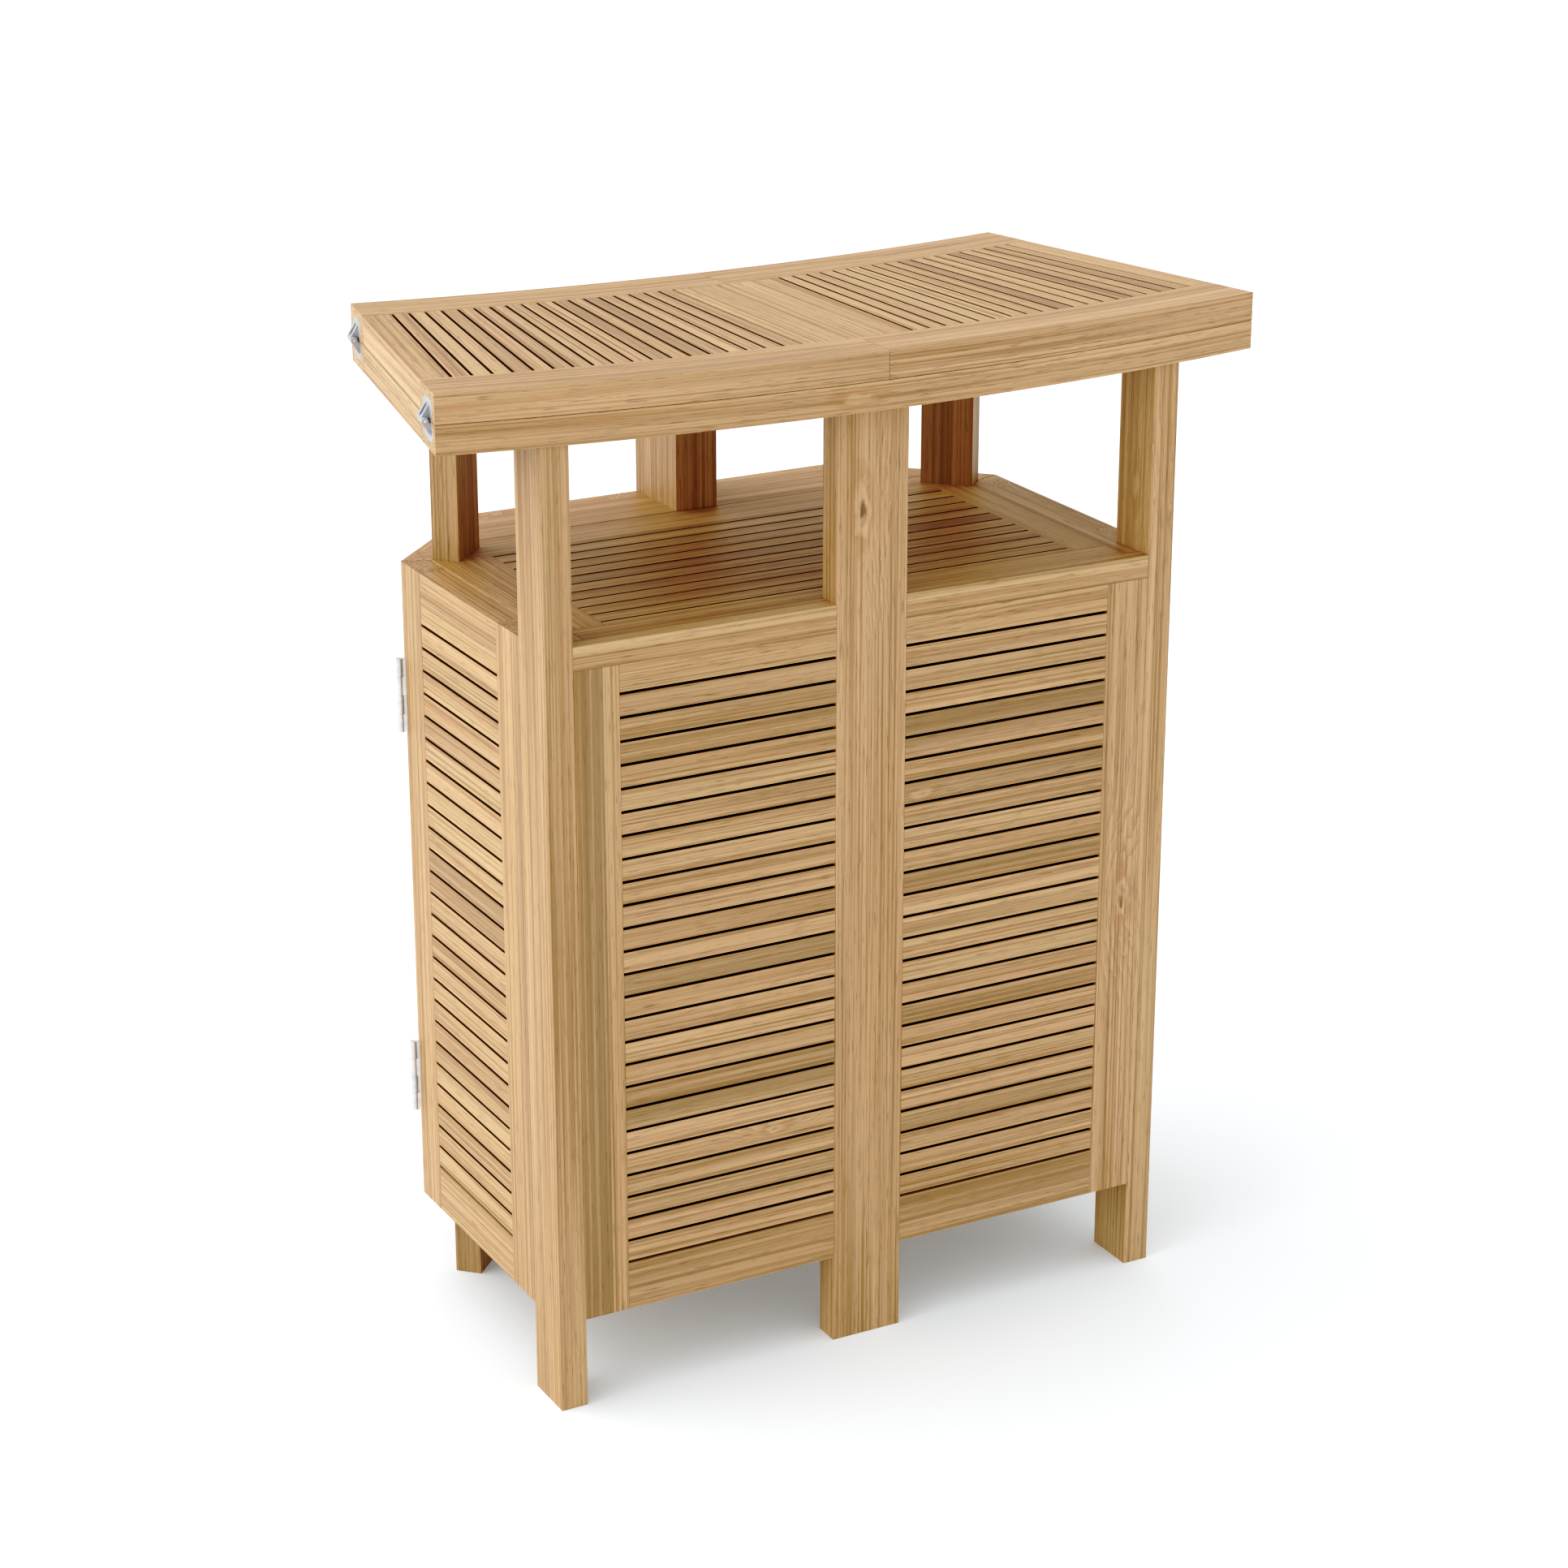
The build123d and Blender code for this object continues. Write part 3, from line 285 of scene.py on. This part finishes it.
def board_tone(node, k, dice):
    """0 is pale honey, 1 is brown heartwood."""
    tone = dice.uniform(0.0, TONE_SPREAD)
    if dice.random() < DARK_SHARE:
        tone += dice.uniform(DARK_LEAST, DARK_MOST)
    return BOARD_TONES.get(node, {}).get(k, tone)


def wood_piece(node):
    """A node's boards, each with its own grain, tone, knot and staves."""
    easing = EASED_EDGE
    if node.endswith("lipping") or node in LEVEL_SLATS:
        easing = EASED_THIN
    bm, number, axes, centres = rebuild(node, easing, WOOD_SHARP)
    grain = bm.verts.layers.float_vector.new("grain")
    knot = bm.verts.layers.float_vector.new("knot")
    tone = bm.verts.layers.float.new("tone")
    past_glue = bm.verts.layers.float.new("past_glue")
    stave_tone = bm.verts.layers.float.new("stave_tone")
    dice = random.Random(zlib.crc32(node.encode()))
    offsets = [grain_offset(dice) for _ in axes]
    tones = [board_tone(node, k, dice) for k in range(len(axes))]
    for vert in bm.verts:
        k = vert[number]
        vert[grain] = offsets[k]
        if node not in CURVED:
            local = vert.co - centres[k]
            vert[grain] += Vector([local.dot(axis) for axis in axes[k]])
        vert[tone] = tones[k]
        vert[knot] = NO_KNOT
        vert[past_glue] = NO_SECOND_STAVE
    for k in range(len(axes)):
        verts = [vert for vert in bm.verts if vert[number] == k]
        if (node, k) in KNOTS:
            mark_knot(verts, knot, axes[k], centres[k], *KNOTS[node, k])
        if (node, k) in STAVES:
            joint, darker = STAVES[node, k]
            mark_glue_line(verts, past_glue, axes[k], centres[k], joint)
            for vert in verts:
                vert[stave_tone] = darker
    # the sides of the slats inside the slots get painted shade
    if node.endswith("slats") and node not in INNER_SHELVES:
        paint_slot_shade(bm, node)
    finish_piece(node, bm)


def mark_knot(verts, layer, axes, centre, face, run, side, size, sunk):
    """Each vertex of the board gets its offset from the knot, in knot sizes."""
    along, wide, thick = axes
    across = wide if face == "wide" else thick
    length = max((vert.co - centre).dot(along) for vert in verts)
    width = max((vert.co - centre).dot(across) for vert in verts)
    for vert in verts:
        local = vert.co - centre
        vert[layer] = Vector((
            (local.dot(along) - (2 * run - 1) * length) / size,
            (local.dot(across) - side * width) / size,
            sunk,
        ))


def mark_glue_line(verts, layer, axes, centre, joint):
    """Each vertex of the board gets its distance past the glue line, in half widths."""
    wide = axes[1]
    width = max((vert.co - centre).dot(wide) for vert in verts)
    for vert in verts:
        vert[layer] = (vert.co - centre).dot(wide) / width - joint


def paint_slot_shade(bm, node):
    """Marks the narrow sides of the slats, inside the slots, with painted shade: they are
    drawn dark like the deep shade there.
    """
    slot_shade_layer = bm.faces.layers.float.new("painted_slot_shade")
    for face in bm.faces:
        upward = abs(face.normal.z)
        if node in LEVEL_SLATS:
            in_slot = upward < SLOT_SIDE_OF_LEAF
        else:
            in_slot = upward > SLOT_SIDE_OF_PANEL
        face[slot_shade_layer] = float(in_slot)


def metal_piece(node):
    """A node of metal or plastic, with its edges just broken."""
    bm = rebuild(node, EASED_METAL, METAL_SHARP)[0]
    finish_piece(node, bm)


# ---------------------------------------------------------------- material helpers
class Nodes:
    """Short ways to add and link shader nodes in one material."""

    def __init__(self, name):
        self.material = bpy.data.materials.new(name)
        self.material.use_nodes = True
        self.tree = self.material.node_tree
        self.shader = self.tree.nodes["Principled BSDF"]

    def add(self, kind, **settings):
        node = self.tree.nodes.new("ShaderNode" + kind)
        for key, value in settings.items():
            setattr(node, key, value)
        return node

    def put(self, value, socket):
        """Links an output, or sets a plain value."""
        if isinstance(value, bpy.types.NodeSocket):
            self.tree.links.new(value, socket)
        else:
            socket.default_value = value

    def math(self, operation, *values):
        node = self.add("Math", operation=operation)
        for value, socket in zip(values, node.inputs):
            self.put(value, socket)
        return node.outputs[0]

    def vector_math(self, operation, *values):
        node = self.add("VectorMath", operation=operation)
        for value, socket in zip(values, node.inputs):
            self.put(value, socket)
        return node.outputs["Vector"]

    def length(self, vector):
        node = self.add("VectorMath", operation="LENGTH")
        self.put(vector, node.inputs[0])
        return node.outputs["Value"]

    def noise(self, place, per_metre, detail=2.0, roughness=0.5):
        """Noise with this many waves per metre along each direction of the place."""
        node = self.add("TexNoise")
        self.put(self.vector_math("MULTIPLY", place, per_metre), node.inputs["Vector"])
        self.put(1.0, node.inputs["Scale"])
        self.put(detail, node.inputs["Detail"])
        self.put(roughness, node.inputs["Roughness"])
        return node.outputs["Fac"]

    def ramp(self, value, low, high, out_low=0.0, out_high=1.0):
        """Goes smoothly from out_low, where the value is low, to out_high."""
        node = self.add("MapRange", interpolation_type="SMOOTHSTEP")
        for socket, item in zip(node.inputs, (value, low, high, out_low, out_high)):
            self.put(item, socket)
        return node.outputs[0]

    def mix(self, factor, a, b, blend="MIX"):
        node = self.add("Mix", data_type="RGBA", blend_type=blend)
        self.put(factor, node.inputs["Factor"])
        self.put(a, node.inputs[6])
        self.put(b, node.inputs[7])
        return node.outputs[2]

    def attribute(self, name):
        return self.add("Attribute", attribute_name=name, attribute_type="GEOMETRY")

    def object_place(self):
        return self.add("TexCoord").outputs["Object"]

    def surface(self, base, roughness):
        self.put(base, self.shader.inputs["Base Color"])
        self.put(roughness, self.shader.inputs["Roughness"])

    def bump(self, height, strength, distance):
        node = self.add("Bump")
        self.put(strength, node.inputs["Strength"])
        self.put(distance, node.inputs["Distance"])
        self.put(height, node.inputs["Height"])
        self.put(node.outputs["Normal"], self.shader.inputs["Normal"])


def colour(red, green, blue):
    return (red, green, blue, 1.0)


# ---------------------------------------------------------------- teak
# Linear colours of oiled teak, and the dark painted shade of the slot sides.
PALE_PINK = colour(0.605, 0.396, 0.214)
PALE_OLIVE = colour(0.578, 0.404, 0.208)
HONEY = colour(0.480, 0.300, 0.140)
RUSSET = colour(0.340, 0.165, 0.062)
BROWN = colour(0.260, 0.145, 0.060)
OLIVE = colour(0.250, 0.152, 0.069)
PORE = colour(0.130, 0.062, 0.024)
KNOT_DARK = colour(0.110, 0.050, 0.020)
# painted shade on the slot sides
SLOT_SHADE_COLOUR = colour(0.060, 0.022, 0.007)
WARM_TINT = colour(1.00, 0.60, 0.35)

# The figure is stretched along the board: waves per metre along, across and through it.
SWIRL_WAVES = (60.0, 130.0, 130.0)
WANDER_WAVES = (0.9, 9.0, 9.0)
RING_PATCH_WAVES = (1.6, 30.0, 30.0)
STREAK_WAVES = (1.1, 42.0, 42.0)
FIBRE_WAVES = (1.8, 340.0, 340.0)
RUSSET_WAVES = (1.0, 170.0, 170.0)
PORE_WAVES = (34.0, 700.0, 700.0)
HEART_WAVES = (0.7, 24.0, 24.0)
HUE_WAVES = (0.5, 16.0, 16.0)

RING_SPACING = 3.8 * MM
RING_WANDER = 16 * MM
LATE_WOOD_POWER = 2.2              # how suddenly a ring darkens towards its end
FAINTEST_RING = 0.15
KNOT_SLIM = (0.30, 1.0, 1.0)       # knots are drawn out along the grain
KNOT_RAGGED = 1.2                  # how far the edge of a knot wanders, in knot sizes
KNOT_PUSH = 12 * MM                # how far rings give way to a knot
GLUE_LINE = 0.01                   # half the width of a stave joint, in half widths

TONE_DEPTH = 0.34
HEART_SHIFT = 0.50                 # how much a dark board has more olive heartwood
HEART_DEPTH = 0.70
PORE_DEPTH = 0.50
# how far painted shade darkens the slot sides
SLOT_SHADE_DEPTH = 0.92
FIBRE_GLOSS = 0.30                 # roughness between the smoothest and roughest fibre


def ring_place(n):
    """Place along and across a curved rail, so that its figure follows the curve."""
    from_centre = n.vector_math("SUBTRACT", tuple(LEAF_CENTRE), n.object_place())
    parts = n.add("SeparateXYZ")
    n.put(from_centre, parts.inputs[0])
    turn = n.math("ARCTAN2", parts.outputs["X"], parts.outputs["Y"])
    reach = n.length(n.vector_math("MULTIPLY", from_centre, (1.0, 1.0, 0.0)))
    joined = n.add("CombineXYZ")
    n.put(n.math("MULTIPLY", turn, LEAF_RADIUS), joined.inputs["X"])
    n.put(n.math("SUBTRACT", reach, LEAF_RADIUS), joined.inputs["Y"])
    n.put(parts.outputs["Z"], joined.inputs["Z"])
    return joined.outputs[0]


def knot_distance(n, grain):
    """Distance from the knot in knot sizes, with a ragged edge."""
    knot = n.attribute("knot").outputs["Vector"]
    reach = n.length(n.vector_math("MULTIPLY", knot, KNOT_SLIM))
    swirl = n.noise(grain, SWIRL_WAVES)
    ragged = n.math("MULTIPLY_ADD", swirl, KNOT_RAGGED, -KNOT_RAGGED / 2)
    return n.math("ADD", reach, ragged)


def growth_rings(n, grain, knot_reach):
    """1 in late wood, bent by a slow wander, pushed aside by a knot, and faint in patches."""
    radius = n.length(n.vector_math("MULTIPLY", grain, (0.0, 1.0, 1.0)))
    bent = n.math("MULTIPLY_ADD", n.noise(grain, WANDER_WAVES), RING_WANDER, radius)
    bent = n.math("ADD", bent, n.ramp(knot_reach, 0.4, 4.5, KNOT_PUSH, 0.0))
    phase = n.math("FRACT", n.math("DIVIDE", bent, RING_SPACING))
    late_wood = n.math("POWER", phase, LATE_WOOD_POWER)
    patch = n.ramp(n.noise(grain, RING_PATCH_WAVES, detail=1.0), 0.38, 0.62)
    strength = n.math("MULTIPLY_ADD", patch, 1.0 - FAINTEST_RING, FAINTEST_RING)
    return n.math("MULTIPLY", late_wood, strength)


def board_darkness(n):
    """The board's tone, with the second stave's own past the glue line."""
    past_glue = n.attribute("past_glue").outputs["Fac"]
    second_stave = n.ramp(past_glue, -GLUE_LINE, GLUE_LINE)
    darker = n.math("MULTIPLY", second_stave, n.attribute("stave_tone").outputs["Fac"])
    return n.math("ADD", n.attribute("tone").outputs["Fac"], darker)


def teak(name, warmth=0.0, ring_depth=0.42, gloss=0.50, curved=False):
    """Straight-grained teak whose figure runs through each board as in a sawn log."""
    n = Nodes(name)
    grain = n.attribute("grain").outputs["Vector"]
    if curved:
        grain = n.vector_math("ADD", grain, ring_place(n))
    tone = board_darkness(n)
    knot_reach = knot_distance(n, grain)
    rings = growth_rings(n, grain, knot_reach)
    streak = n.noise(grain, STREAK_WAVES, detail=3.0, roughness=0.55)
    fibre = n.noise(grain, FIBRE_WAVES, detail=3.0, roughness=0.62)
    russet = n.noise(grain, RUSSET_WAVES, detail=3.0, roughness=0.62)
    pores = n.ramp(n.noise(grain, PORE_WAVES, detail=2.0, roughness=0.6), 0.56, 0.72)
    heart_field = n.math("MULTIPLY_ADD", tone, HEART_SHIFT, n.noise(grain, HEART_WAVES))
    heart = n.ramp(heart_field, 0.62, 1.00)
    hue = n.ramp(n.noise(grain, HUE_WAVES, detail=1.0), 0.36, 0.64)
    knot_rim = n.math(
        "MULTIPLY", n.ramp(knot_reach, 0.70, 1.00), n.ramp(knot_reach, 1.05, 1.60, 0.35, 0.0)
    )

    # from the palest wood, how much of each further colour lies over it
    pale = n.mix(hue, PALE_PINK, PALE_OLIVE)
    body = pale
    for amount, shade in (
        (n.ramp(streak, 0.34, 0.66, 0.12, 0.82), HONEY),
        (n.math("MULTIPLY", rings, ring_depth), BROWN),
        (n.math("MULTIPLY", tone, TONE_DEPTH), BROWN),
        (n.math("MULTIPLY", heart, HEART_DEPTH), OLIVE),
        (n.ramp(russet, 0.52, 0.66, 0.0, 0.50), RUSSET),
        (n.ramp(fibre, 0.48, 0.64, 0.0, 0.68), BROWN),
        (n.ramp(fibre, 0.30, 0.48, 0.45, 0.0), pale),
        (n.math("MULTIPLY", pores, PORE_DEPTH), PORE),
        (n.ramp(knot_reach, 0.5, 1.0, 0.45, 0.0), pale),
        (knot_rim, RUSSET),
        (n.ramp(knot_reach, 0.10, 0.50, 0.80, 0.0), KNOT_DARK),
    ):
        body = n.mix(amount, body, shade)
    if warmth:
        body = n.mix(warmth, body, WARM_TINT, blend="MULTIPLY")
    # painted shade: the slot sides are drawn dark
    painted_slot_shade = n.attribute("painted_slot_shade").outputs["Fac"]
    body = n.mix(n.math("MULTIPLY", painted_slot_shade, SLOT_SHADE_DEPTH), body, SLOT_SHADE_COLOUR)
    n.surface(body, n.math("MULTIPLY_ADD", fibre, FIBRE_GLOSS, gloss - 0.4 * FIBRE_GLOSS))

    height = n.math("MULTIPLY_ADD", pores, -0.6, fibre)
    height = n.math("MULTIPLY_ADD", rings, -0.5, height)
    n.bump(height, strength=0.45, distance=0.20 * MM)
    return n.material


# ---------------------------------------------------------------- metal and plastic
BRUSHING_WAVES = (900.0, 900.0, 9000.0)
TARNISH_WAVES = (120.0, 120.0, 120.0)
SPECKLE_WAVES = (2500.0, 2500.0, 2500.0)


def brushed_steel(name, bright, dull, metallic=0.90):
    """Satin stainless steel with fine brushing and a little tarnish."""
    n = Nodes(name)
    place = n.object_place()
    brushing = n.noise(place, BRUSHING_WAVES)
    tarnish = n.noise(place, TARNISH_WAVES, detail=3.0)
    body = n.mix(n.ramp(tarnish, 0.40, 0.70), bright, dull)
    n.surface(body, n.math("MULTIPLY_ADD", brushing, 0.22, 0.32))
    n.put(metallic, n.shader.inputs["Metallic"])
    n.bump(brushing, strength=0.12, distance=0.05 * MM)
    return n.material


def dark_plastic(name, dark, light):
    """Moulded plastic with a fine grain."""
    n = Nodes(name)
    speckle = n.noise(n.object_place(), SPECKLE_WAVES)
    n.surface(n.mix(speckle, dark, light), n.math("MULTIPLY_ADD", speckle, 0.2, 0.45))
    n.bump(speckle, strength=0.2, distance=0.05 * MM)
    return n.material


MATERIALS = {
    "teak_frame": teak("teak_frame", ring_depth=0.52),
    "teak_slats": teak("teak_slats", ring_depth=0.50),
    "teak_top": teak("teak_top", ring_depth=0.36, gloss=0.46),
    "teak_curved": teak("teak_curved", ring_depth=0.48, gloss=0.46, curved=True),
    "teak_shelf": teak("teak_shelf", warmth=0.10),
    STEEL: brushed_steel(STEEL, colour(0.72, 0.72, 0.72), colour(0.62, 0.62, 0.63)),
    "plate_steel": brushed_steel(
        "plate_steel", colour(0.44, 0.445, 0.455), colour(0.37, 0.375, 0.385), metallic=0.40
    ),
    PLASTIC: dark_plastic(PLASTIC, colour(0.050, 0.028, 0.016), colour(0.075, 0.045, 0.028)),
}

# ---------------------------------------------------------------- every piece
for node_name in sorted(frame["nodes"]):
    if SLOT_OF[node_name] in (STEEL, PLASTIC):
        metal_piece(node_name)
    else:
        wood_piece(node_name)

# ---------------------------------------------------------------- floor and light
FLOOR_REACH = 60.0                 # metres from the middle to each side of the floor
FLOOR_WHITE = colour(0.86, 0.88, 0.90)
FLOOR_GLOW = colour(0.70, 0.90, 1.00)
FLOOR_GLOW_STRENGTH = 0.14
WHITE = colour(1.0, 1.0, 1.0)
GLOW_RIM = 0.35                    # cosine of the angle at which the bright side fades out

# Shades of a printed product picture: a linear value, and the one shown for it.
PRINT_SHADES = ((0.045, 0.008), (0.105, 0.043), (0.19, 0.150), (0.32, 0.29), (0.65, 0.66))
ALL_CHANNELS = 3                   # the curve for red, green and blue together


def studio_floor():
    """A plain pale floor, faintly lit from below like a light table."""
    bm = bmesh.new()
    bmesh.ops.create_grid(bm, x_segments=1, y_segments=1, size=FLOOR_REACH)
    mesh = bpy.data.meshes.new("studio_floor")
    bm.to_mesh(mesh)
    bm.free()
    floor = bpy.data.objects.new("studio_floor", mesh)
    bpy.context.scene.collection.objects.link(floor)
    n = Nodes("studio_floor")
    n.surface(FLOOR_WHITE, 0.9)
    n.put(FLOOR_GLOW, n.shader.inputs["Emission Color"])
    n.put(FLOOR_GLOW_STRENGTH, n.shader.inputs["Emission Strength"])
    n.put(0.0, n.shader.inputs["Specular IOR Level"])
    mesh.materials.append(n.material)


def studio_world(ambient, glow, towards):
    """White surroundings that are brighter towards the key side."""
    world = bpy.data.worlds.new("studio")
    world.use_nodes = True
    tree = world.node_tree
    place = tree.nodes.new("ShaderNodeTexCoord")
    facing = tree.nodes.new("ShaderNodeVectorMath")
    facing.operation = "DOT_PRODUCT"
    facing.inputs[1].default_value = Vector(towards).normalized()
    tree.links.new(place.outputs["Generated"], facing.inputs[0])
    spread = tree.nodes.new("ShaderNodeMapRange")
    spread.interpolation_type = "SMOOTHSTEP"
    spread.inputs["From Min"].default_value = GLOW_RIM
    spread.inputs["From Max"].default_value = 1.0
    spread.inputs["To Min"].default_value = ambient
    spread.inputs["To Max"].default_value = ambient + glow
    tree.links.new(facing.outputs["Value"], spread.inputs["Value"])
    background = tree.nodes["Background"]
    background.inputs["Color"].default_value = WHITE
    tree.links.new(spread.outputs[0], background.inputs["Strength"])
    bpy.context.scene.world = world


def sun(name, towards, strength, spread):
    """A very wide, soft light from one side; the spread is in degrees."""
    data = bpy.data.lights.new(name, "SUN")
    data.energy = strength
    data.angle = math.radians(spread)
    lamp = bpy.data.objects.new(name, data)
    lamp.rotation_euler = Vector(towards).to_track_quat("Z", "Y").to_euler()
    bpy.context.scene.collection.objects.link(lamp)


def print_contrast():
    """Standard colours with the slightly deeper shades of a printed product picture."""
    view = bpy.context.scene.view_settings
    view.view_transform = "Standard"
    view.use_curve_mapping = True
    curve = view.curve_mapping.curves[ALL_CHANNELS]
    for value, shown in PRINT_SHADES:
        curve.points.new(value, shown)
    view.curve_mapping.update()


studio_floor()
studio_world(ambient=0.93, glow=1.5, towards=(-0.95, 0.28, 0.14))
sun("key", towards=(-0.38, 0.10, 0.92), strength=0.45, spread=60)
print_contrast()

# ---------------------------------------------------------------- camera
# Solved once from the object's proportions in the photograph.
CAMERA_PLACE = Vector((-1.78598, -3.33857, 1.93606))
CAMERA_TURN = math.radians(-28.448)
CAMERA_DIP = math.radians(-19.939)
SENSOR_WIDTH = 36.0                # millimetres, as for the lens
LENS = 84.70

camera_data = bpy.data.cameras.new("camera")
camera_data.sensor_width = SENSOR_WIDTH
camera_data.lens = LENS
camera = bpy.data.objects.new("camera", camera_data)
camera.location = CAMERA_PLACE
camera.rotation_euler = (math.pi / 2 + CAMERA_DIP, 0.0, CAMERA_TURN)
bpy.context.scene.collection.objects.link(camera)
bpy.context.scene.camera = camera
